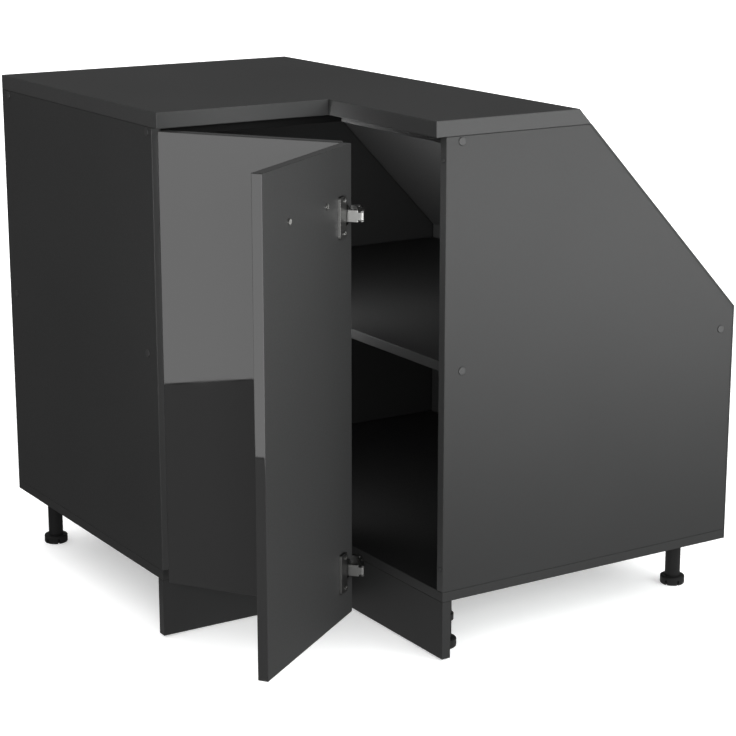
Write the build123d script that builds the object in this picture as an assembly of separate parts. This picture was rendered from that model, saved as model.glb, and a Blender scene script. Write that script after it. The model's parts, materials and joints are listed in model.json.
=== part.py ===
from build123d import *
import os
import math

# ---------------------------------------------------------------- dimensions
# Plan coordinates while modelling (mm): the left end panel stands at X = 0,
# the right end panel at Y = 0, the two wall sides at X = W and Y = W, Z up.
W = 900.0            # footprint along each wall
H = 850.0            # height over the top board
T = 16.0             # carcass board
TOP_T = 25.0         # top board
EDGE = 304.0         # front edges of the top board = outer faces of the doors
FRONT = 322.0        # front plane of the carcass
BASE = 98.0          # leg height, underside of the bottom board
SHEET = 3.0          # thin back sheets
SLOPE_X = 568.0      # slope starts here at the top surface
SLOPE_Z = 502.0      # slope ends here at X = W
SHELF_Z = 458.0      # underside of the shelf
SHELF_SET = 19.0     # shelf set back from the carcass front
DOOR_T = 16.0
DOOR_Z0, DOOR_Z1 = 99.0, 822.0
DOOR_GAP = 1.5       # gap at the free edges of the leaves
FOLD_GAP = 4.0       # end of the first leaf short of the second leaf's outer face
OPEN_DEG = 55.0      # swing of the door pair in the rest pose
R_EDGE = 0.7         # softened board edges
HINGE_Z_FOLD = (174.0, 719.0)
HINGE_Z_SIDE = (216.0, 690.0)
TUBE_D, FOOT_D, FOOT_H = 26.0, 42.0, 15.0
LEGS = {"left_front": (55.0, 362.0), "left_back": (48.0, 852.0),
        "right_front": (362.0, 55.0), "right_back": (860.0, 83.0),
        "rear_corner": (845.0, 845.0), "inner_corner": (374.0, 374.0)}

Z_FLOOR = BASE + T                 # top of the bottom board
Z_TOP = H - TOP_T                  # underside of the top board
XB = W - SHEET                     # rear edge of the boards under the sheets
K = (H - SLOPE_Z) / (W - SLOPE_X)  # slope, drop per run
C = math.sqrt(1 + K * K)


def slope_z(x, inset=0.0):
    return H - K * (x - SLOPE_X) - inset * C


def slope_x(z, inset=0.0):
    return SLOPE_X + (H - inset * C - z) / K


def bx(x0, x1, y0, y1, z0, z1):
    return Pos((x0 + x1) / 2, (y0 + y1) / 2, (z0 + z1) / 2) * Box(x1 - x0, y1 - y0, z1 - z0)


def cz(x, y, z0, z1, d):
    return Pos(x, y, (z0 + z1) / 2) * Cylinder(d / 2, z1 - z0)


def cx(y, z, x0, x1, d):
    return Pos((x0 + x1) / 2, y, z) * Rot(0, 90, 0) * Cylinder(d / 2, x1 - x0)


def cy(x, z, y0, y1, d):
    return Pos(x, (y0 + y1) / 2, z) * Rot(90, 0, 0) * Cylinder(d / 2, y1 - y0)


def prism_xy(pts, z0, z1):
    f = make_face(Polyline(*[(x, y, z0) for x, y in pts], close=True))
    return extrude(f, amount=z1 - z0, dir=(0, 0, 1))


def prism_xz(pts, y0, y1):
    f = make_face(Polyline(*[(x, y0, z) for x, z in pts], close=True))
    return extrude(f, amount=y1 - y0, dir=(0, 1, 0))


def soft(shape, r=R_EDGE, skip=None):
    """soften the edges; skip is the plan position of an inner corner left sharp"""
    edges = shape.edges()
    if skip is not None:
        keep = [e for e in edges if not (abs(e.center().X - skip) < 0.01 and abs(e.center().Y - skip) < 0.01)]
        edges = ShapeList(keep)
    return fillet(edges, r)


def group(items):
    out = []
    for i in items:
        out += list(i.solids())
    return Compound(children=out)


G = 0.06             # drilling clearance round fasteners


def stud_z(x, y, steps, g=0.0):
    """round stepped piece along Z: steps of (z0, z1, diameter)"""
    out = None
    for z0, z1, d in steps:
        c = cz(x, y, z0 - g, z1 + g, d + 2 * g)
        out = c if out is None else out + c
    return out


def stud_x(y, z, steps, g=0.0):
    out = None
    for x0, x1, d in steps:
        c = cx(y, z, x0 - g, x1 + g, d + 2 * g)
        out = c if out is None else out + c
    return out


def stud_y(x, z, steps, g=0.0):
    out = None
    for y0, y1, d in steps:
        c = cy(x, z, y0 - g, y1 + g, d + 2 * g)
        out = c if out is None else out + c
    return out


def cross_x(y, z, x, s, d=0.9):
    """cross recess in a screw head whose top is at x and faces along s"""
    x0, x1 = sorted((x - s * d, x + s * 0.2))
    return bx(x0, x1, y - 2.1, y + 2.1, z - 0.45, z + 0.45) + bx(x0, x1, y - 0.45, y + 0.45, z - 2.1, z + 2.1)


def cross_y(x, z, y, s, d=0.9):
    y0, y1 = sorted((y - s * d, y + s * 0.2))
    return bx(x - 2.1, x + 2.1, y0, y1, z - 0.45, z + 0.45) + bx(x - 0.45, x + 0.45, y0, y1, z - 2.1, z + 2.1)


def cross_z(x, y, z, s, d=0.9):
    z0, z1 = sorted((z - s * d, z + s * 0.2))
    return bx(x - 2.1, x + 2.1, y - 0.45, y + 0.45, z0, z1) + bx(x - 0.45, x + 0.45, y - 2.1, y + 2.1, z0, z1)


NODES = {}

# ---------------------------------------------------------------- carcass boards
top_a = prism_xy([(0, EDGE), (EDGE, EDGE), (EDGE, 0), (slope_x(Z_TOP), 0),
                  (slope_x(Z_TOP), W), (0, W)], Z_TOP, H)
cut_wedge = prism_xz([(SLOPE_X, H), (SLOPE_X + 80, H), (SLOPE_X + 80, Z_TOP - 60),
                      (slope_x(Z_TOP - 60), Z_TOP - 60)], -5, W + 5)
worktop = soft(top_a - cut_wedge, 0.9, EDGE)

bottom_board = soft(prism_xy([(0, FRONT), (FRONT, FRONT), (FRONT, 0), (XB, 0), (XB, W), (0, W)],
                             BASE, Z_FLOOR), R_EDGE, FRONT)
left_side_panel = soft(bx(0, T, FRONT, W, Z_FLOOR, Z_TOP))
side_profile = [(FRONT, Z_FLOOR), (XB, Z_FLOOR), (XB, slope_z(XB, SHEET)),
                (slope_x(Z_TOP, SHEET), Z_TOP), (FRONT, Z_TOP)]
right_side_panel = soft(prism_xz(side_profile, 0, T))
rear_profile = [(T, Z_FLOOR), (XB, Z_FLOOR), (XB, slope_z(XB, SHEET)),
                (slope_x(Z_TOP, SHEET), Z_TOP), (T, Z_TOP)]
rear_wall_panel = prism_xz(rear_profile, W - T, W)
rear_back_sheet = bx(XB, W, 0, W, BASE, slope_z(W) - 1.0)
# slope sheet: lies on the sloped edges, from the top board down to the back sheet
slope_sheet = prism_xz([(slope_x(Z_TOP, SHEET), Z_TOP), (slope_x(Z_TOP), Z_TOP),
                        (W, slope_z(W)), (W, slope_z(W) - 1.0), (XB, slope_z(W) - 1.0),
                        (XB, slope_z(XB, SHEET))], 0, W)
S0 = FRONT + SHELF_SET
shelf = soft(prism_xy([(T, S0), (S0, S0), (S0, T), (XB, T), (XB, W - T), (T, W - T)],
                      SHELF_Z, SHELF_Z + T), R_EDGE, S0)
ZS0 = Z_TOP - T
front_stretcher_left = bx(T, FRONT + 110, FRONT + 7, FRONT + 77, ZS0, Z_TOP)
front_stretcher_right = bx(FRONT + 20, FRONT + 90, T, FRONT + 7, ZS0, Z_TOP)
rear_stretcher = bx(T, slope_x(Z_TOP, SHEET) - 3, W - T - 70, W - T, ZS0, Z_TOP)
PL0 = 3.0
plinth_left = soft(bx(0, FRONT + T, FRONT, FRONT + T, PL0, BASE))
plinth_right = soft(bx(FRONT, FRONT + T, 0, FRONT, PL0, BASE))

# ---------------------------------------------------------------- screws, caps, dowels
# (axis, plan position along the panel, height): heads sit under the cover caps
right_caps = [(350.0, Z_TOP - T / 2), (354.0, SHELF_Z + T / 2), (872.0, SHELF_Z + T / 2)]
left_caps = [(338.0, Z_TOP - T / 2), (354.0, SHELF_Z + T / 2),
             (872.0, SHELF_Z + T / 2), (872.0, Z_TOP - T / 2)]
screws, caps, cutters = [], [], []
for x, z in right_caps:
    st = [(3.0, 5.5, 9.6), (5.5, 52.0, 6.4)]
    screws.append(stud_y(x, z, st))
    cutters += [stud_y(x, z, st, G), cy(x, z, -1, 3.2, 9.7)]
    caps.append(fillet(cy(x, z, -1.1, -0.02, 13.0).edges().sort_by(Axis.Y)[:1], 0.9)
                + cy(x, z, -0.02, 2.8, 9.4))
for y, z in left_caps:
    st = [(3.0, 5.5, 9.6), (5.5, 52.0, 6.4)]
    screws.append(stud_x(y, z, st))
    cutters += [stud_x(y, z, st, G), cx(y, z, -1, 3.2, 9.7)]
    caps.append(fillet(cx(y, z, -1.1, -0.02, 13.0).edges().sort_by(Axis.X)[:1], 0.9)
                + cx(y, z, -0.02, 2.8, 9.4))
# screws up through the bottom board into the panels that stand on it
for x, y in ((T / 2, 420.0), (T / 2, 780.0), (420.0, T / 2), (780.0, T / 2),
             (250.0, W - T / 2), (650.0, W - T / 2)):
    st = [(BASE + 0.1, BASE + 2.5, 9.6), (BASE + 2.5, BASE + 50, 6.4)]
    screws.append(stud_z(x, y, st))
    cutters += [stud_z(x, y, st, G), cz(x, y, BASE - 1, BASE + 1, 9.72)]
confirmat_screws = group(screws)
screw_caps = group(caps)
dowels = []
for x, y in ((T / 2, 360.0), (T / 2, 600.0), (T / 2, 850.0), (360.0, T / 2), (600.0, T / 2),
             (850.0, T / 2), (120.0, W - T / 2), (450.0, W - T / 2), (820.0, W - T / 2)):
    dowels.append(cz(x, y, BASE + 6, BASE + 36, 8.0))
    cutters.append(cz(x, y, BASE + 5.9, BASE + 36.1, 8.0 + 2 * G))
wood_dowels = group(dowels)


def drilled(shape, tools):
    for t in tools:
        shape = shape - t
    return shape


left_side_panel = drilled(left_side_panel, cutters)
right_side_panel = drilled(right_side_panel, cutters)
rear_wall_panel = drilled(soft(rear_wall_panel), cutters)
bottom_board = drilled(bottom_board, cutters)
shelf = drilled(shelf, cutters)
front_stretcher_left = drilled(soft(front_stretcher_left), cutters)
front_stretcher_right = drilled(soft(front_stretcher_right), cutters)
rear_stretcher = drilled(soft(rear_stretcher), cutters)

# nails that hold the thin sheets, heads flush with the sheet
nails, nail_tools = [], []
NL = [(W - 0.95, W - 0.05, 4.4), (W - 20, W - 0.95, 1.7)]
nail_at = [(y, z) for z in (140.0, 230.0, 320.0, 410.0, 480.0) for y in (T / 2, W - T / 2)]
nail_at += [(y, BASE + T / 2) for y in (150.0, 350.0, 550.0, 750.0)]
for y, z in nail_at:
    nails.append(stud_x(y, z, NL))
    nail_tools.append(stud_x(y, z, NL, G) + cx(y, z, W - 0.5, W + 1, 4.4 + 2 * G))
SANG = math.degrees(math.atan2(K, 1.0))
for t in (0.12, 0.37, 0.62, 0.87):
    x = slope_x(Z_TOP) + t * (W - slope_x(Z_TOP))
    for y in (T / 2, W - T / 2):
        loc = Pos(x, y, slope_z(x)) * Rot(0, SANG, 0)
        nails.append(loc * stud_z(0, 0, [(-0.95, -0.05, 4.4), (-20.0, -0.95, 1.7)]))
        nail_tools.append(loc * (stud_z(0, 0, [(-0.95, -0.05, 4.4), (-20.0, -0.95, 1.7)], G)
                                 + cz(0, 0, -0.5, 1.0, 4.4 + 2 * G)))
sheet_nails = group(nails)
rear_back_sheet = drilled(rear_back_sheet, nail_tools)
slope_sheet = drilled(slope_sheet, nail_tools)
right_side_panel = drilled(right_side_panel, nail_tools)
rear_wall_panel = drilled(rear_wall_panel, nail_tools)
bottom_board = drilled(bottom_board, nail_tools)

# ---------------------------------------------------------------- legs
plates, tubes, feet, lscrews, lscrew_tools = [], [], {}, [], []
for name, (x, y) in LEGS.items():
    pl = cz(x, y, BASE - 5, BASE, 62.0) + cz(x, y, BASE - 19, BASE - 5, 19.6)
    pl = fillet(pl.edges().filter_by(GeomType.CIRCLE).group_by(SortBy.RADIUS)[-1]
                .sort_by(Axis.Z)[:1], 1.6)
    # flat side where the plate meets the back of a plinth board
    if name == "right_front":
        pl = pl - bx(x - 40, FRONT + T + 0.5, y - 40, y + 40, BASE - 30, BASE + 1)
    if name == "left_front":
        pl = pl - bx(x - 40, x + 40, y - 40, FRONT + T + 0.5, BASE - 30, BASE + 1)
    holes = []
    for a in (45, 135, 225, 315):
        px, py = x + 24 * math.cos(math.radians(a)), y + 24 * math.sin(math.radians(a))
        st = [(BASE - 6.2, BASE - 3, 7.6), (BASE - 3, BASE + 11, 3.4)]
        lscrews.append(stud_z(px, py, st) - cross_z(px, py, BASE - 6.2, -1, 1.4))
        holes.append(stud_z(px, py, st, G))
    lscrew_tools += holes
    plates.append(drilled(pl, holes))
    tube = cz(x, y, 14.2, BASE - 5, TUBE_D) - cz(x, y, BASE - 19.5, BASE - 4, 19.8)
    tube = tube - cz(x, y, 14.2, 72.0, 10.9)
    tubes.append(tube)
    f = cz(x, y, 0, FOOT_H, FOOT_D)
    e = f.edges().sort_by(Axis.Z)
    f = fillet(e[:1], 3.0)
    f = fillet(f.edges().sort_by(Axis.Z)[-1:], 2.6)
    f = f - cz(x, y, 4.0, FOOT_H + 1, TUBE_D + 1.2)
    for a in (0, 60, 120):
        f = f - Pos(x, y, 4.4) * Rot(0, 0, a + 20) * Box(FOOT_D + 4, 3.4, 9.0)
    hub = cz(x, y, 0.0, 4.0, 26.0)
    f = f + hub + cz(x, y, 4.0, 58.0, 10.0)
    feet[name] = f
leg_mounting_plates = group(plates)
leg_tubes = group(tubes)
leg_screws = group(lscrews)
bottom_board = drilled(bottom_board, lscrew_tools)

# plinth clips: a split ring round the tube and a pad on the back of the plinth
clips = []
for name, d in (("left_front", "y"), ("right_front", "x"), ("inner_corner", "x")):
    x, y = LEGS[name]
    z0 = 46.0
    ring = cz(x, y, z0, z0 + 10, TUBE_D + 6.4) - cz(x, y, z0 - 1, z0 + 11, TUBE_D + 0.2)
    if d == "y":
        arm = bx(x - 7, x + 7, FRONT + T, y - TUBE_D / 2 - 1, z0, z0 + 10)
        pad = bx(x - 16, x + 16, FRONT + T, FRONT + T + 3, z0 - 8, z0 + 18)
    else:
        arm = bx(FRONT + T, x - TUBE_D / 2 - 1, y - 7, y + 7, z0, z0 + 10)
        pad = bx(FRONT + T, FRONT + T + 3, y - 16, y + 16, z0 - 8, z0 + 18)
    if name == "inner_corner":
        # the pad at the inner corner backs the end of the right plinth
        arm = bx(FRONT + T, x - TUBE_D / 2 - 1, y - 34, y - 24, z0, z0 + 10) \
            + bx(x - TUBE_D / 2 - 8, x - TUBE_D / 2 - 1, y - 34, y + 5, z0, z0 + 10)
        pad = bx(FRONT + T, FRONT + T + 3, 270.0, y - 24, z0 - 6, z0 + 16)
        arm = arm + bx(FRONT + T, FRONT + T + 3, 270.0, y - 24, z0, z0 + 10)
    clips.append(ring + arm + pad - cz(x, y, z0 - 20, z0 + 30, TUBE_D + 0.2))
plinth_clips = group(clips)

# ---------------------------------------------------------------- hinges
EX, EY = DOOR_GAP, EDGE                    # swing axis, outer free corner of the first leaf
OX, OY = EDGE, EDGE                        # fold axis, inner corner of the two outer faces
SP, SQ = (30.0, 24.0), (23.0, 10.0)        # side hinge: arm pivot, cup pivot (from EX, EY)
FP, FQ = (30.0, 4.0), (10.0, -22.5)        # fold hinge: arm pivot, cup pivot (from OX, OY)
PIN = 3.0
HOLE = 3.5
ARM_H = 5.6                                # half height of the arm at its pivot
LA_0, LA_1 = 6.1, 7.9                      # outer link plates, from and to
PIN_H = 8.5                                # half length of the pivot pins
LB_END, LB_H = 5.7, 8.8                    # inner link, half height at the elbow and along it
LB_T = 5.0                                 # inner link thickness
LA_W = 6.6                                 # outer link width


def rotv(v, deg):
    a = math.radians(deg)
    return (v[0] * math.cos(a) - v[1] * math.sin(a), v[0] * math.sin(a) + v[1] * math.cos(a))


def bar_xy(a, b, w, z0, z1):
    dx, dy = b[0] - a[0], b[1] - a[1]
    n = math.hypot(dx, dy)
    ang = math.degrees(math.atan2(dy, dx))
    body = Pos((a[0] + b[0]) / 2, (a[1] + b[1]) / 2, (z0 + z1) / 2) * Rot(0, 0, ang) * Box(n, w, z1 - z0)
    return body + cz(a[0], a[1], z0, z1, w) + cz(b[0], b[1], z0, z1, w)


def link_b(elb, tip, z, h):
    """inner link: low at the elbow between the outer links, of half height h from there to the cup"""
    dx, dy = tip[0] - elb[0], tip[1] - elb[1]
    n = math.hypot(dx, dy)
    ang = math.degrees(math.atan2(dy, dx))
    m = (5.0 + n) / 2
    w = LB_T + 0.6
    tall = Pos(elb[0] + dx * m / n, elb[1] + dy * m / n, z) * Rot(0, 0, ang) * Box(n - 5.0, w, 2 * h)
    tall = fillet(tall.edges().filter_by(Axis.Z).sort_by_distance(Vector(elb[0], elb[1], z))[:2], 1.2)
    body = bar_xy(elb, tip, w, z - LB_END, z + LB_END) + tall + cz(tip[0], tip[1], z - h, z + h, w)
    return body - cz(elb[0], elb[1], z - 12, z + 12, HOLE) - cz(tip[0], tip[1], z - 12, z + 12, HOLE)


def swing(shape):
    return Pos(EX, EY, 0) * Rot(0, 0, -OPEN_DEG) * Pos(-EX, -EY, 0) * shape


# first leaf and second leaf, closed position
leaf_1 = fillet(bx(EX, EDGE - FOLD_GAP, EDGE, EDGE + DOOR_T, DOOR_Z0, DOOR_Z1).edges(), 0.8)
leaf_2 = fillet(bx(EDGE, EDGE + DOOR_T, DOOR_GAP + 0.5, EDGE - 1.0, DOOR_Z0, DOOR_Z1).edges(), 0.8)

side_plates, side_arms, side_pscrews = [], [], []
side_cups, side_cpins, side_cscrews = [], [], []
side_la, side_pins, side_lb = [], [], []
panel_cut, leaf1_cut, leaf2_cut = [], [], []
q_open = rotv(SQ, -OPEN_DEG)
sp = (EX + SP[0], EY + SP[1])
s_elb = (sp[0] + q_open[0], sp[1] + q_open[1])
s_tip = (EX + q_open[0], EY + q_open[1])
for z in HINGE_Z_SIDE:
    # mounting plate and arm on the inner face of the left panel
    st = [(T + 3.0, T + 5.0, 8.0), (T - 11.0, T + 3.0, 4.0)]
    side_pscrews += [stud_x(359.0, z + s, st) - cross_x(359.0, z + s, T + 5.0, 1) for s in (-16, 16)]
    scr = [cx(359.0, z + s, T - 11.1, T + 3.1, 4.0 + 2 * G) for s in (-16, 16)]
    pl = fillet(bx(T, T + 3, 349, 391, z - 9, z + 9).edges().filter_by(Axis.X), 3) \
        + fillet(bx(T, T + 3, 352, 366, z - 24, z + 24).edges().filter_by(Axis.X), 4)
    side_plates.append(drilled(pl, scr))
    panel_cut += scr
    a = bx(T + 3, T + 11, 348, 396, z - 8, z + 8)
    a = fillet(a.edges().filter_by(Axis.Z), 2.5)
    a = a + bar_xy(sp, (T + 8.0, 354.0), 6.6, z - ARM_H, z + ARM_H)
    a = a - cz(sp[0], sp[1], z - 12, z + 12, HOLE)
    a = a - cx(372.0, z, T + 8, T + 20, 7.0) - cx(386.0, z, T + 8, T + 20, 7.0)
    side_arms.append(a)
    # outer links with their two pins, inner link, open at 55 degrees
    for s in (-1, 1):
        za, zb = sorted((z + s * LA_0, z + s * LA_1))
        l = bar_xy(sp, s_elb, LA_W, za, zb)
        l = l - cz(sp[0], sp[1], za - 1, zb + 1, PIN + 0.1) - cz(s_elb[0], s_elb[1], za - 1, zb + 1, PIN + 0.1)
        side_la.append(l)
    side_pins += [cz(c[0], c[1], z - PIN_H, z + PIN_H, PIN) for c in (sp, s_elb)]
    lb = bar_xy(s_elb, s_tip, LB_T + 0.6, z - LB_END, z + LB_END)
    side_lb.append(drilled(lb, [cz(c[0], c[1], z - 12, z + 12, HOLE) for c in (s_elb, s_tip)]))
    # cup in the back of the first leaf (closed coordinates)
    xc = EX + SQ[0]
    yb = EDGE + DOOR_T
    cup = cy(xc, z, yb - 12.2, yb, 35.0)
    lobes = bx(xc - 6.5, xc + 16, yb, yb + 2.2, z - 33, z + 33)
    lobes = fillet(lobes.edges().filter_by(Axis.Y), 5) - bx(xc - 20, xc + 20, yb - 1, yb + 4, z - 12.5, z + 12.5)
    cup = cup + lobes - cy(xc, z, yb - 11.0, yb + 5, 32.4)
    csc = [stud_y(xc + 6, z + s, [(yb + 2.2, yb + 3.6, 7.4), (yb - 10.0, yb + 2.2, 3.6)])
           - cross_y(xc + 6, z + s, yb + 3.6, 1) for s in (-25, 25)]
    csct = [cy(xc + 6, z + s, yb - 10.1, yb + 2.3, 3.6 + 2 * G) for s in (-25, 25)]
    qx, qy = EX + SQ[0], EY + SQ[1]
    pin = cz(qx, qy, z - 16.9, z + 16.9, PIN)
    leaf1_cut += [cy(xc, z, yb - 12.3, yb + 1, 35.2)] + csct
    side_cups.append(drilled(cup, csct + [cz(qx, qy, z - 17.0, z + 17.0, PIN + 0.1)]))
    side_cpins.append(pin)
    side_cscrews += csc

fold_plates, fold_arms, fold_pscrews = [], [], []
fold_cups, fold_cpins, fold_cscrews = [], [], []
fold_la, fold_pins, fold_lb = [], [], []
fp = (OX + FP[0], OY + FP[1])
f_elb = (fp[0] + FQ[0], fp[1] + FQ[1])
f_tip = (OX + FQ[0], OY + FQ[1])
for z in HINGE_Z_FOLD:
    yb = EDGE + DOOR_T                       # back of the first leaf
    fold_pscrews += [stud_y(OX - 22, z + s, [(yb + 3.0, yb + 5.0, 8.0), (yb - 11, yb + 3.0, 4.0)])
                     - cross_y(OX - 22, z + s, yb + 5.0, 1) for s in (-16, 16)]
    scr = [cy(OX - 22, z + s, yb - 11.1, yb + 3.1, 4.0 + 2 * G) for s in (-16, 16)]
    pl = fillet(bx(OX - 48, OX - 6, yb, yb + 3, z - 9, z + 9).edges().filter_by(Axis.Y), 3) \
        + fillet(bx(OX - 29, OX - 15, yb, yb + 3, z - 24, z + 24).edges().filter_by(Axis.Y), 4)
    fold_plates.append(drilled(pl, scr))
    leaf1_cut += scr
    a = fillet(bx(OX - 46, OX + 20, yb + 3, yb + 11, z - 8, z + 8).edges().filter_by(Axis.Z), 2.5)
    a = a + bar_xy((OX + 18.0, yb + 7.0), fp, 7.0, z - ARM_H, z + ARM_H)
    a = a - cz(fp[0], fp[1], z - 12, z + 12, HOLE)
    a = a - cy(OX - 8, z, yb + 8, yb + 20, 7.0) - cy(OX - 38, z, yb + 8, yb + 20, 7.0)
    fold_arms.append(a)
    for s in (-1, 1):
        za, zb = sorted((z + s * LA_0, z + s * LA_1))
        l = bar_xy(fp, f_elb, LA_W, za, zb)
        l = l - cz(fp[0], fp[1], za - 1, zb + 1, PIN + 0.1) - cz(f_elb[0], f_elb[1], za - 1, zb + 1, PIN + 0.1)
        fold_la.append(l)
    fold_pins += [cz(c[0], c[1], z - PIN_H, z + PIN_H, PIN) for c in (fp, f_elb)]
    fold_lb.append(link_b(f_elb, f_tip, z, LB_H))
    # cup in the back of the second leaf
    xb2 = EDGE + DOOR_T
    yc = OY + FQ[1]
    cup = cx(yc, z, xb2 - 12.2, xb2, 35.0)
    plate = fillet(bx(xb2, xb2 + 4.0, yc - 27, yc - 5.5, z - 31, z + 31).edges().filter_by(Axis.X), 4)
    cup = cup + plate - cx(yc, z, xb2 - 11.0, xb2 - 0.0, 32.4) \
        - bx(xb2 - 1, xb2 + 5, yc - 6, yc + 20, z - 12.5, z + 12.5)
    csc = [stud_x(yc - 13, z + s, [(xb2 + 4.0, xb2 + 5.4, 7.6), (xb2 - 10.0, xb2 + 4.0, 3.6)])
           - cross_x(yc - 13, z + s, xb2 + 5.4, 1) for s in (-24, 24)]
    csct = [cx(yc - 13, z + s, xb2 - 10.1, xb2 + 4.1, 3.6 + 2 * G) for s in (-24, 24)]
    pin = cz(f_tip[0], f_tip[1], z - 16.9, z + 16.9, PIN)
    leaf2_cut += [cx(yc, z, xb2 - 12.3, xb2 + 1, 35.2)] + csct
    fold_cups.append(drilled(cup, csct + [cz(f_tip[0], f_tip[1], z - 17.0, z + 17.0, PIN + 0.1)]))
    fold_cpins.append(pin)
    fold_cscrews += csc

left_side_panel = drilled(left_side_panel, panel_cut)

# ---------------------------------------------------------------- handle on the outer face of the second leaf
HY, HZ, HC = EDGE - 153.5, 743.0, 128.0
bar = Pos(EDGE - 28.0, HY, HZ) * Rot(90, 0, 0) * Cylinder(5.0, 139.0)
bar = fillet(bar.edges(), 1.2)
posts, hscrews, hs_tools = [], [], []
for s in (-1, 1):
    y = HY + s * HC / 2
    posts.append(cx(y, HZ, EDGE - 27.0, EDGE, 8.0))
    hscrews.append(stud_x(y, HZ, [(EDGE - 9.0, EDGE + DOOR_T, 4.0), (EDGE + DOOR_T, EDGE + DOOR_T + 2.2, 8.6)])
                   - cross_x(y, HZ, EDGE + DOOR_T + 2.2, 1, 1.2))
    hs_tools.append(cx(y, HZ, EDGE - 9.1, EDGE + DOOR_T + 1, 4.0 + 2 * G))
handle_bar = drilled(bar + posts[0] + posts[1], hs_tools)
leaf2_cut += hs_tools

leaf_1 = drilled(leaf_1, leaf1_cut)
leaf_2 = drilled(leaf_2, leaf2_cut)

# door bumpers on the carcass front edges
bumpers = []
for z in (150.0, 790.0):
    b = cx(T / 2, z, FRONT - 1.4, FRONT, 8.0)
    bumpers.append(fillet(b.edges().sort_by(Axis.X)[:1], 0.6))

# ---------------------------------------------------------------- nodes
NODES["worktop"] = worktop
NODES["bottom_board"] = bottom_board
NODES["left_side_panel"] = left_side_panel
NODES["right_side_panel"] = right_side_panel
NODES["rear_wall_panel"] = rear_wall_panel
NODES["rear_back_sheet"] = rear_back_sheet
NODES["slope_sheet"] = slope_sheet
NODES["shelf"] = shelf
NODES["front_stretcher_left"] = front_stretcher_left
NODES["front_stretcher_right"] = front_stretcher_right
NODES["rear_stretcher"] = rear_stretcher
NODES["plinth_left"] = plinth_left
NODES["plinth_right"] = plinth_right
NODES["plinth_clips"] = plinth_clips
NODES["leg_mounting_plates"] = leg_mounting_plates
NODES["leg_tubes"] = leg_tubes
NODES["leg_screws"] = leg_screws
NODES["confirmat_screws"] = confirmat_screws
NODES["screw_caps"] = screw_caps
NODES["wood_dowels"] = wood_dowels
NODES["sheet_nails"] = sheet_nails
NODES["door_bumpers"] = group(bumpers)
NODES["side_hinge_plates"] = group(side_plates)
NODES["side_hinge_arms"] = group(side_arms)
NODES["side_hinge_plate_screws"] = group(side_pscrews)
NODES["side_hinge_outer_links"] = group(side_la)
NODES["side_hinge_pins"] = group(side_pins)
NODES["side_hinge_inner_links"] = group(side_lb)
NODES["side_hinge_cups"] = swing(group(side_cups))
NODES["side_hinge_cup_pins"] = swing(group(side_cpins))
NODES["side_hinge_cup_screws"] = swing(group(side_cscrews))
NODES["door_leaf_left"] = swing(leaf_1)
NODES["fold_hinge_plates"] = swing(group(fold_plates))
NODES["fold_hinge_arms"] = swing(group(fold_arms))
NODES["fold_hinge_plate_screws"] = swing(group(fold_pscrews))
NODES["fold_hinge_outer_links"] = swing(group(fold_la))
NODES["fold_hinge_pins"] = swing(group(fold_pins))
NODES["fold_hinge_inner_links"] = swing(group(fold_lb))
NODES["door_leaf_right"] = swing(leaf_2)
NODES["fold_hinge_cups"] = swing(group(fold_cups))
NODES["fold_hinge_cup_pins"] = swing(group(fold_cpins))
NODES["fold_hinge_cup_screws"] = swing(group(fold_cscrews))
NODES["handle_bar"] = swing(handle_bar)
NODES["handle_screws"] = swing(group(hscrews))
for n, f in feet.items():
    NODES["foot_" + n] = f

# ---------------------------------------------------------------- origin: bottom centre of the whole object
lo = [1e9] * 3
hi = [-1e9] * 3
for s in NODES.values():
    b = s.bounding_box()
    for i, v in enumerate((b.min.X, b.min.Y, b.min.Z)):
        lo[i] = min(lo[i], v)
    for i, v in enumerate((b.max.X, b.max.Y, b.max.Z)):
        hi[i] = max(hi[i], v)
DX, DY, DZ = -(lo[0] + hi[0]) / 2, -(lo[1] + hi[1]) / 2, -lo[2]
print("box", [round(hi[i] - lo[i], 2) for i in range(3)], "shift", round(DX, 3), round(DY, 3), round(DZ, 3))
pts = {"swing_axis": (EX, EY), "fold_axis_closed": (OX, OY), "side_arm_pivot": sp, "side_elbow": s_elb,
       "side_tip": s_tip}
for n, (x, y) in pts.items():
    print(n, round(x + DX, 3), round(y + DY, 3))
for n, p in {"fold_axis": (OX, OY), "fold_arm_pivot": fp, "fold_elbow": f_elb, "fold_tip": f_tip}.items():
    v = rotv((p[0] - EX, p[1] - EY), -OPEN_DEG)
    print(n, round(EX + v[0] + DX, 3), round(EY + v[1] + DY, 3))

os.makedirs("parts", exist_ok=True)
for n, s in NODES.items():
    export_step(Pos(DX, DY, DZ) * s, "parts/" + n + ".step")
print(len(NODES), "nodes")
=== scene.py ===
import json
import math
import bpy
import bmesh
from mathutils import Vector, Matrix

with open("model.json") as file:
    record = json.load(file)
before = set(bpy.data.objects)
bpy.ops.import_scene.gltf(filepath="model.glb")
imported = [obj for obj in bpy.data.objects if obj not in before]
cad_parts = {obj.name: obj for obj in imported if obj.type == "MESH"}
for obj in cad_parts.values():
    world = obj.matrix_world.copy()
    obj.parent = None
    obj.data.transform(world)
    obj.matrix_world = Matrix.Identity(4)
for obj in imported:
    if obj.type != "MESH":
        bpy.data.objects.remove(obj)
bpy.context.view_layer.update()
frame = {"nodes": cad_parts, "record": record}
nodes = frame["nodes"]
scene = bpy.context.scene
scene.view_settings.view_transform = "Standard"
scene.view_settings.look = "None"

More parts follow.
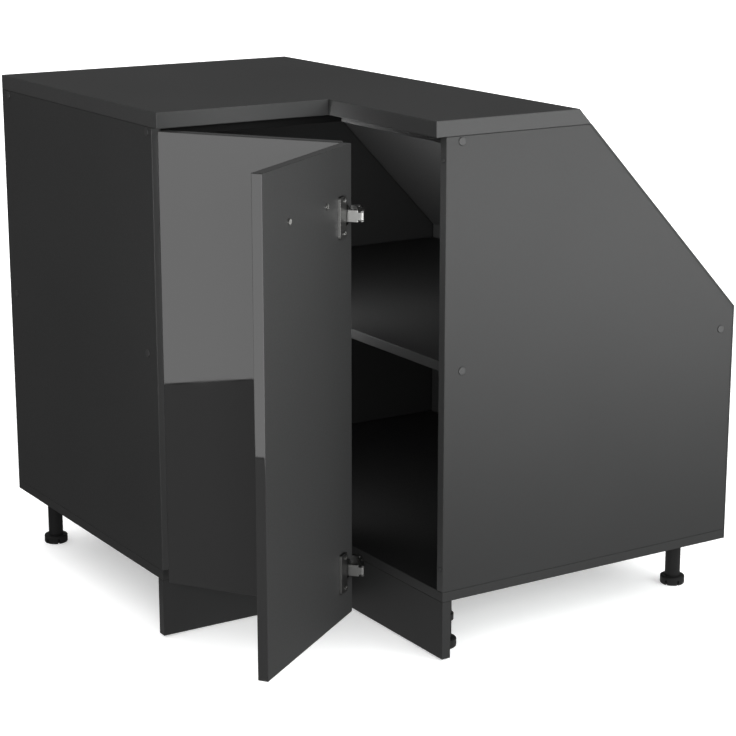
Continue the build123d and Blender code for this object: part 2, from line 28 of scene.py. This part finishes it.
# ------------------------------------------------------------------ camera
F_PX, IMG = 2095.0, 736.0
cam_data = bpy.data.cameras.new("photo_camera")
cam_data.sensor_fit = "AUTO"
cam_data.sensor_width = 36.0
cam_data.lens = F_PX / IMG * 36.0
cam_data.clip_end = 200.0
cam = bpy.data.objects.new("photo_camera", cam_data)
scene.collection.objects.link(cam)
yaw, pitch = 0.5631, 0.2520
fwd = Vector((math.sin(yaw) * math.cos(pitch), math.cos(yaw) * math.cos(pitch), -math.sin(pitch)))
cam.location = (-1.8253, -2.9143, 1.2640)
cam.rotation_euler = fwd.to_track_quat("-Z", "Y").to_euler()
scene.camera = cam

# ------------------------------------------------------------------ node helpers


def new_mat(name):
    m = bpy.data.materials.new(name)
    m.use_nodes = True
    nt = m.node_tree
    nt.nodes.clear()
    out = nt.nodes.new("ShaderNodeOutputMaterial")
    b = nt.nodes.new("ShaderNodeBsdfPrincipled")
    nt.links.new(b.outputs["BSDF"], out.inputs["Surface"])
    return m, nt, b


def coords(nt, scale=(1, 1, 1), rot=(0, 0, 0)):
    tc = nt.nodes.new("ShaderNodeTexCoord")
    mp = nt.nodes.new("ShaderNodeMapping")
    mp.inputs["Scale"].default_value = scale
    mp.inputs["Rotation"].default_value = rot
    nt.links.new(tc.outputs["Object"], mp.inputs["Vector"])
    return mp.outputs["Vector"]


def noise(nt, vec, scale, detail=2.0, rough=0.5):
    n = nt.nodes.new("ShaderNodeTexNoise")
    n.inputs["Scale"].default_value = scale
    n.inputs["Detail"].default_value = detail
    n.inputs["Roughness"].default_value = rough
    nt.links.new(vec, n.inputs["Vector"])
    return n.outputs["Fac"]


def ramp(nt, fac, stops):
    r = nt.nodes.new("ShaderNodeValToRGB")
    el = r.color_ramp.elements
    while len(el) < len(stops):
        el.new(0.5)
    for e, (p, c) in zip(el, stops):
        e.position = p
        e.color = (c[0], c[1], c[2], 1.0) if not isinstance(c, (int, float)) else (c, c, c, 1.0)
    nt.links.new(fac, r.inputs["Fac"])
    return r.outputs["Color"]


def maprange(nt, fac, a, b, c, d):
    m = nt.nodes.new("ShaderNodeMapRange")
    for k, v in (("From Min", a), ("From Max", b), ("To Min", c), ("To Max", d)):
        m.inputs[k].default_value = v
    nt.links.new(fac, m.inputs["Value"])
    return m.outputs["Result"]


def mathn(nt, op, a, b):
    m = nt.nodes.new("ShaderNodeMath")
    m.operation = op
    for i, v in enumerate((a, b)):
        if isinstance(v, (int, float)):
            m.inputs[i].default_value = v
        else:
            nt.links.new(v, m.inputs[i])
    return m.outputs[0]


def mixc(nt, fac, a, b, mode="MIX"):
    m = nt.nodes.new("ShaderNodeMix")
    m.data_type = "RGBA"
    m.blend_type = mode
    for sock, v in ((m.inputs[0], fac), (m.inputs[6], a), (m.inputs[7], b)):
        if isinstance(v, (int, float)):
            sock.default_value = v
        elif isinstance(v, tuple):
            sock.default_value = (*v, 1.0)
        else:
            nt.links.new(v, sock)
    return m.outputs[2]


def bump(nt, height, strength, dist, normal=None):
    b = nt.nodes.new("ShaderNodeBump")
    b.inputs["Strength"].default_value = strength
    b.inputs["Distance"].default_value = dist
    nt.links.new(height, b.inputs["Height"])
    if normal is not None:
        nt.links.new(normal, b.inputs["Normal"])
    return b.outputs["Normal"]


def facing(nt, axis, lo, hi):
    """1 where the surface faces along axis (object space), 0 elsewhere"""
    tc = nt.nodes.new("ShaderNodeTexCoord")
    d = nt.nodes.new("ShaderNodeVectorMath")
    d.operation = "DOT_PRODUCT"
    d.inputs[1].default_value = axis
    nt.links.new(tc.outputs["Normal"], d.inputs[0])
    return maprange(nt, d.outputs["Value"], lo, hi, 0.0, 1.0)


def arris(nt, radius):
    """softened edge normal"""
    bev = nt.nodes.new("ShaderNodeBevel")
    bev.samples = 4
    bev.inputs["Radius"].default_value = radius
    return bev.outputs["Normal"]


def painted_crease_shade(nt, dist, lo, hi):
    """ambient-occlusion mask, 1 on open faces, lo in narrow joints and grooves; multiplied into the base colour it
    paints shade into joints, grooves and contact lines
    """
    ao = nt.nodes.new("ShaderNodeAmbientOcclusion")
    ao.samples = 8
    ao.inputs["Distance"].default_value = dist
    return maprange(nt, ao.outputs["AO"], 0.45, hi, lo, 1.0)


# ------------------------------------------------------------------ materials


def melamine(name, tone, rough=(0.40, 0.50), speck=0.10, tint=(1.0, 1.005, 1.005), spec=0.5, painted_band=None):
    """matt board foil: fine pearl structure, faint cloudiness, small specks; painted shade in joints and grooves, and
    an optional painted band that darkens or lightens the faces turned along one axis
    """
    m, nt, b = new_mat(name)
    v = coords(nt)
    cloud = noise(nt, v, 2.3, 3.0, 0.55)
    fine = noise(nt, v, 620.0, 2.0, 0.6)
    dust = noise(nt, v, 1900.0, 1.0, 0.5)
    base = ramp(nt, cloud, [(0.30, tuple(tone * 0.93 * t for t in tint)), (0.70, tuple(tone * 1.07 * t for t in tint))])
    grain = ramp(nt, dust, [(0.38, 1.0 - speck), (0.50, 1.0), (0.66, 1.0 + speck)])
    col = mixc(nt, 1.0, base, grain, "MULTIPLY")
    # painted band: faces turned along the axis get their colour multiplied by the gain, painted shade where the gain is
    # below 1, painted light where it is above 1
    if painted_band is not None:
        axis, painted_gain = painted_band
        col = mixc(nt, facing(nt, axis, 0.80, 0.92), col, (painted_gain, painted_gain, painted_gain), "MULTIPLY")
    # painted shade: base colour darkened by ambient occlusion in joints, grooves and contact lines
    crease_shade = painted_crease_shade(nt, 0.003, 0.12, 0.92)
    nt.links.new(mixc(nt, 1.0, col, crease_shade, "MULTIPLY"), b.inputs["Base Color"])
    nt.links.new(maprange(nt, fine, 0.3, 0.7, rough[0], rough[1]), b.inputs["Roughness"])
    nt.links.new(bump(nt, fine, 0.10, 0.00012, arris(nt, 0.0014)), b.inputs["Normal"])
    b.inputs["Specular IOR Level"].default_value = spec
    return m


def gloss_front(name, tone, axis, extra):
    """high gloss lacquer foil on the outer face and the edges, matt foil on the back"""
    m, nt, b = new_mat(name)
    v = coords(nt)
    back = facing(nt, tuple(-a for a in axis), 0.80, 0.92)
    cloud = noise(nt, v, 2.3, 3.0, 0.55)
    fine = noise(nt, v, 620.0, 2.0, 0.6)
    peel = noise(nt, v, 34.0, 1.0, 0.4)
    front_c = ramp(nt, cloud, [(0.3, tuple(tone * 0.96 for _ in range(3))), (0.7, tuple(tone * 1.04 for _ in range(3)))])
    back_c = ramp(nt, cloud, [(0.3, tuple(extra * 0.94 for _ in range(3))), (0.7, tuple(extra * 1.06 for _ in range(3)))])
    nt.links.new(mixc(nt, back, front_c, back_c), b.inputs["Base Color"])
    r_front = maprange(nt, peel, 0.3, 0.7, 0.012, 0.030)
    r_back = maprange(nt, fine, 0.3, 0.7, 0.40, 0.50)
    r = nt.nodes.new("ShaderNodeMix")
    nt.links.new(back, r.inputs[0])
    nt.links.new(r_front, r.inputs[2])
    nt.links.new(r_back, r.inputs[3])
    nt.links.new(r.outputs[0], b.inputs["Roughness"])
    h = mathn(nt, "MULTIPLY", mathn(nt, "MULTIPLY", fine, back), 1.0)
    n1 = bump(nt, h, 0.10, 0.00012, arris(nt, 0.0013))
    nt.links.new(bump(nt, peel, 0.010, 0.0002, n1), b.inputs["Normal"])
    b.inputs["Specular IOR Level"].default_value = 0.5
    return m


def plastic(name, tone, rough=(0.38, 0.5), scale=900.0):
    m, nt, b = new_mat(name)
    v = coords(nt)
    f = noise(nt, v, scale, 2.0, 0.6)
    c = noise(nt, v, 30.0, 2.0, 0.5)
    nt.links.new(ramp(nt, c, [(0.3, tone * 0.9), (0.7, tone * 1.1)]), b.inputs["Base Color"])
    nt.links.new(maprange(nt, f, 0.3, 0.7, *rough), b.inputs["Roughness"])
    nt.links.new(bump(nt, f, 0.15, 0.0001), b.inputs["Normal"])
    return m


def metal(name, tone, rough=(0.22, 0.36), stretch=(60.0, 60.0, 900.0), edge=0.0005, painted_band=None):
    m, nt, b = new_mat(name)
    v = coords(nt, stretch)
    f = noise(nt, v, 1.0, 3.0, 0.6)
    c = noise(nt, coords(nt), 120.0, 2.0, 0.5)
    col = ramp(nt, c, [(0.3, tuple(t * 0.97 for t in tone)), (0.7, tuple(min(1.0, t * 1.02) for t in tone))])
    # painted band: faces turned along the axis get their colour multiplied by the gain, painted shade where the gain is
    # below 1, painted light where it is above 1
    if painted_band is not None:
        axis, painted_gain = painted_band
        col = mixc(nt, facing(nt, axis, 0.55, 0.85), col, (painted_gain, painted_gain, painted_gain), "MULTIPLY")
    nt.links.new(col, b.inputs["Base Color"])
    nt.links.new(maprange(nt, f, 0.3, 0.7, *rough), b.inputs["Roughness"])
    bev = nt.nodes.new("ShaderNodeBevel")
    bev.samples = 4
    bev.inputs["Radius"].default_value = edge
    nt.links.new(bump(nt, f, 0.08, 0.00008, bev.outputs["Normal"]), b.inputs["Normal"])
    b.inputs["Metallic"].default_value = 1.0
    return m


def beechwood(name):
    m, nt, b = new_mat(name)
    v = coords(nt, (400.0, 400.0, 14.0))
    g = noise(nt, v, 1.0, 4.0, 0.6)
    nt.links.new(ramp(nt, g, [(0.3, (0.42, 0.27, 0.15)), (0.7, (0.62, 0.44, 0.28))]), b.inputs["Base Color"])
    nt.links.new(maprange(nt, g, 0.2, 0.8, 0.5, 0.7), b.inputs["Roughness"])
    nt.links.new(bump(nt, g, 0.2, 0.0002), b.inputs["Normal"])
    return m


def soft_pad(name):
    m, nt, b = new_mat(name)
    v = coords(nt)
    f = noise(nt, v, 500.0, 2.0, 0.5)
    nt.links.new(ramp(nt, f, [(0.3, (0.035, 0.036, 0.036)), (0.7, (0.050, 0.051, 0.051))]), b.inputs["Base Color"])
    nt.links.new(maprange(nt, f, 0.3, 0.7, 0.40, 0.55), b.inputs["Roughness"])
    nt.links.new(bump(nt, f, 0.1, 0.0001), b.inputs["Normal"])
    return m


PLINTH = melamine("anthracite_plinth", 0.026, (0.44, 0.54), spec=0.42)
FRONT_RAIL = melamine("anthracite_front_rail", 0.027, spec=0.2)
# painted shade: the upward face of the bottom board is multiplied by 0.55, darker than its edges
BOTTOM = melamine("anthracite_bottom", 0.026, painted_band=((0.0, 0.0, 1.0), 0.55))
# painted shade: a darker copy of the board (tone 0.007) for the left front stretcher, which sits in shadow under the
# top
SHADED_RAIL = melamine("anthracite_rail_painted_shade", 0.007, (0.55, 0.65), spec=0.12)
# painted shade: the front-facing side of the rear wall is multiplied by 0.52, darker than its edges
REAR = melamine("anthracite_rear", 0.028, (0.48, 0.58), spec=0.35, painted_band=((0.0, -1.0, 0.0), 0.52))
# painted shade and light: the shelf top is multiplied by 0.26, while its edges keep the lighter tone 0.040
SHELF = melamine("anthracite_shelf", 0.040, (0.44, 0.54), spec=0.25, painted_band=((0.0, 0.0, 1.0), 0.26))
# painted light: the slope sheet is a lighter copy (tone 0.036) of the 0.030 fibreboard
SLOPE = melamine("anthracite_slope", 0.036, (0.5, 0.62), 0.18)
# painted light: the front edge of the left panel (faces towards -Y) is 2.4 times lighter
LEFT = melamine("anthracite_left", 0.026, painted_band=((0.0, -1.0, 0.0), 2.4))
# painted light: the front edge of the right panel (faces towards -X) is 2.0 times lighter
RIGHT = melamine("anthracite_right", 0.026, painted_band=((-1.0, 0.0, 0.0), 2.0))

C55, S55 = math.cos(math.radians(55.0)), math.sin(math.radians(55.0))
N1 = (-S55, -C55, 0.0)      # outer face of the first leaf at rest
N2 = (-C55, S55, 0.0)       # outer face of the second leaf at rest

# painted highlight: cup faces turned towards N1 are 3.6 times lighter
DULL = metal("dull_steel", (0.12, 0.12, 0.117), (0.38, 0.50), painted_band=(N1, 3.6))
ARM = metal("dark_zinc", (0.24, 0.24, 0.235), (0.36, 0.48))
LINK = metal("bright_nickel", (0.42, 0.42, 0.41), (0.30, 0.42), edge=0.0010)

MAT = {
    "melamine": melamine("anthracite_melamine", 0.026),
    # painted shade: the upward face of the top board is multiplied by 0.63, darker than its edges (tone 0.038)
    "melamine_top": melamine("anthracite_melamine_top", 0.038, painted_band=((0.0, 0.0, 1.0), 0.63)),
    "fibreboard": melamine("dark_fibreboard", 0.030, (0.5, 0.62), 0.18),
    "black_plastic": plastic("moulded_black_plastic", 0.012),
    "grey_plastic": plastic("cap_plastic", 0.036, (0.28, 0.38)),
    "zinc_steel": metal("zinc_steel", (0.62, 0.62, 0.60)),
    "nickel_steel": metal("nickel_steel", (0.90, 0.89, 0.87), (0.34, 0.46)),
    "beech": beechwood("beech"),
    "clear_rubber": soft_pad("clear_pad"),
    "brushed_handle": metal("brushed_handle", (0.60, 0.60, 0.59), (0.28, 0.42), (900.0, 900.0, 60.0), 0.0006),
}
own_mats = {"door_leaf_left": gloss_front("gloss_leaf_left", 0.024, N1, 0.024),
             "door_leaf_right": gloss_front("gloss_leaf_right", 0.024, N2, 0.024),
             "plinth_left": PLINTH, "plinth_right": PLINTH,
             "front_stretcher_left": SHADED_RAIL, "front_stretcher_right": FRONT_RAIL,
             "left_side_panel": LEFT, "right_side_panel": RIGHT, "rear_wall_panel": REAR,
             "bottom_board": BOTTOM, "shelf": SHELF, "slope_sheet": SLOPE,
             "side_hinge_cups": DULL, "fold_hinge_cups": DULL,
             "side_hinge_inner_links": LINK, "fold_hinge_inner_links": LINK,
             "side_hinge_outer_links": ARM, "fold_hinge_outer_links": ARM,
             "side_hinge_arms": ARM, "fold_hinge_arms": ARM,
             "side_hinge_pins": ARM, "fold_hinge_pins": ARM}

slot_of = {s["node"]: s["material_slot"] for s in frame["record"]["subparts"]}
for name, o in nodes.items():
    m = own_mats.get(name) or MAT[slot_of[name]]
    o.data.materials.clear()
    o.data.materials.append(m)

# ------------------------------------------------------------------ stage


def plane(name, pts, mat):
    me = bpy.data.meshes.new(name)
    me.from_pydata([Vector(p) for p in pts], [], [tuple(range(len(pts)))])
    o = bpy.data.objects.new(name, me)
    scene.collection.objects.link(o)
    me.materials.append(mat)
    return o


fm, fnt, fb = new_mat("pale_floor")
fv = coords(fnt)
ff = noise(fnt, fv, 0.7, 2.0, 0.5)
fnt.links.new(ramp(fnt, ff, [(0.3, 0.80), (0.7, 0.83)]), fb.inputs["Base Color"])
fb.inputs["Roughness"].default_value = 0.9
fb.inputs["Emission Color"].default_value = (1.0, 1.0, 1.0, 1.0)
# painted glow: the floor emits light, from 0.40 within 1.5 m of the origin up to 1.0 beyond 5 m, whitening the far
# floor and lightening contact shadows
ftc = fnt.nodes.new("ShaderNodeTexCoord")
fln = fnt.nodes.new("ShaderNodeVectorMath")
fln.operation = "LENGTH"
fnt.links.new(ftc.outputs["Object"], fln.inputs[0])
fnt.links.new(maprange(fnt, fln.outputs["Value"], 1.5, 5.0, 0.40, 1.0), fb.inputs["Emission Strength"])
floor = plane("floor", [(-40, -40, 0), (40, -40, 0), (40, 40, 0), (-40, 40, 0)], fm)
floor.visible_glossy = False
floor.visible_diffuse = False


def glow(name, pts, strength):
    m = bpy.data.materials.new(name)
    m.use_nodes = True
    nt = m.node_tree
    nt.nodes.clear()
    out = nt.nodes.new("ShaderNodeOutputMaterial")
    e = nt.nodes.new("ShaderNodeEmission")
    e.inputs["Strength"].default_value = strength
    nt.links.new(e.outputs[0], out.inputs["Surface"])
    o = plane(name, pts, m)
    o.visible_camera = False
    o.visible_diffuse = False
    o.visible_shadow = False
    o.visible_transmission = False
    o.visible_volume_scatter = False
    return o


# bright studio surround in front and to the left, seen in reflections only
left_part = [(-2.02, 0.90), (-2.015, -0.47), (-1.874, -0.735), (-1.60, -1.25), (-6.0, -7.0), (-9.0, -3.0), (-9.0, 0.90)]
front_part = [(-1.60, -1.25), (-0.90, -1.90), (0.20, -2.00), (1.20, -1.80), (3.00, -1.00), (9.0, -3.0), (6.0, -9.0), (-6.0, -9.0), (-6.0, -7.0)]
near_part = [(-2.00, 0.10), (-2.00, -0.47), (-1.860, -0.735), (-1.59, -1.24), (-0.90, -1.89), (0.20, -1.99), (1.20, -1.79), (2.9, -1.0), (2.9, 0.1)]
glow("surround_left", [(x, y, 0.002) for x, y in left_part], 2.9)
glow("surround_front", [(x, y, 0.002) for x, y in front_part], 3.9)
right_part = [(1.7, -0.30), (1.7, 1.30), (5.0, 2.60), (5.0, -0.60)]
glow("surround_right", [(x, y, 0.002) for x, y in right_part], 2.0)
glow("surround_near", [(x, y, 0.001) for x, y in near_part], 0.30)


def softbox(name, loc, target, size, watts, glossy=True, tint=(1.0, 1.0, 1.0)):
    d = bpy.data.lights.new(name, "AREA")
    d.shape = "RECTANGLE"
    d.size, d.size_y = size
    d.energy = watts
    d.color = tint
    o = bpy.data.objects.new(name, d)
    scene.collection.objects.link(o)
    o.location = loc
    o.rotation_euler = (Vector(target) - Vector(loc)).to_track_quat("-Z", "Y").to_euler()
    o.visible_glossy = glossy
    o.visible_camera = False
    return o


softbox("overhead", (0.0, 1.0, 6.0), (0.0, 1.0, 0.0), (16.0, 16.0), 1150.0, False)
softbox("front_right", (2.4, -3.2, 2.4), (0.1, 0.0, 0.5), (2.0, 2.0), 70.0, False, (0.965, 1.0, 0.99))
softbox("front_mid", (0.8, -4.0, 1.8), (0.0, 0.0, 0.45), (2.4, 1.6), 95.0, False, (0.975, 1.0, 0.995))
# soft fill inside the cabinet, behind the plane of the closed doors
softbox("opening_fill", (-0.20, 0.04, 0.66), (0.80, -0.02, 0.66), (0.20, 0.16), 4.4, False).data.spread = math.radians(150)
softbox("opening_fill_low", (-0.20, 0.04, 0.28), (0.80, 0.24, 0.27), (0.20, 0.12), 0.95, False).data.spread = math.radians(125)
softbox("left_front", (-3.2, -2.4, 1.5), (0.0, 0.0, 0.6), (1.6, 1.6), 26.0, False)
softbox("front_fill", (-1.85, -3.15, 1.45), (0.05, 0.0, 0.45), (0.9, 0.9), 30.0, False)

w = bpy.data.worlds.new("studio")
scene.world = w
w.use_nodes = True
wn = w.node_tree
wn.nodes.clear()
wo = wn.nodes.new("ShaderNodeOutputWorld")
lp = wn.nodes.new("ShaderNodeLightPath")
b_cam = wn.nodes.new("ShaderNodeBackground")
b_cam.inputs["Color"].default_value = (1.0, 1.0, 1.0, 1)
b_gls = wn.nodes.new("ShaderNodeBackground")
b_gls.inputs["Color"].default_value = (0.08, 0.08, 0.08, 1)
b_dif = wn.nodes.new("ShaderNodeBackground")
b_dif.inputs["Color"].default_value = (0.35, 0.35, 0.35, 1)
m1 = wn.nodes.new("ShaderNodeMixShader")
m2 = wn.nodes.new("ShaderNodeMixShader")
wn.links.new(lp.outputs["Is Glossy Ray"], m1.inputs[0])
wn.links.new(b_dif.outputs[0], m1.inputs[1])
wn.links.new(b_gls.outputs[0], m1.inputs[2])
wn.links.new(lp.outputs["Is Camera Ray"], m2.inputs[0])
wn.links.new(m1.outputs[0], m2.inputs[1])
wn.links.new(b_cam.outputs[0], m2.inputs[2])
wn.links.new(m2.outputs[0], wo.inputs["Surface"])
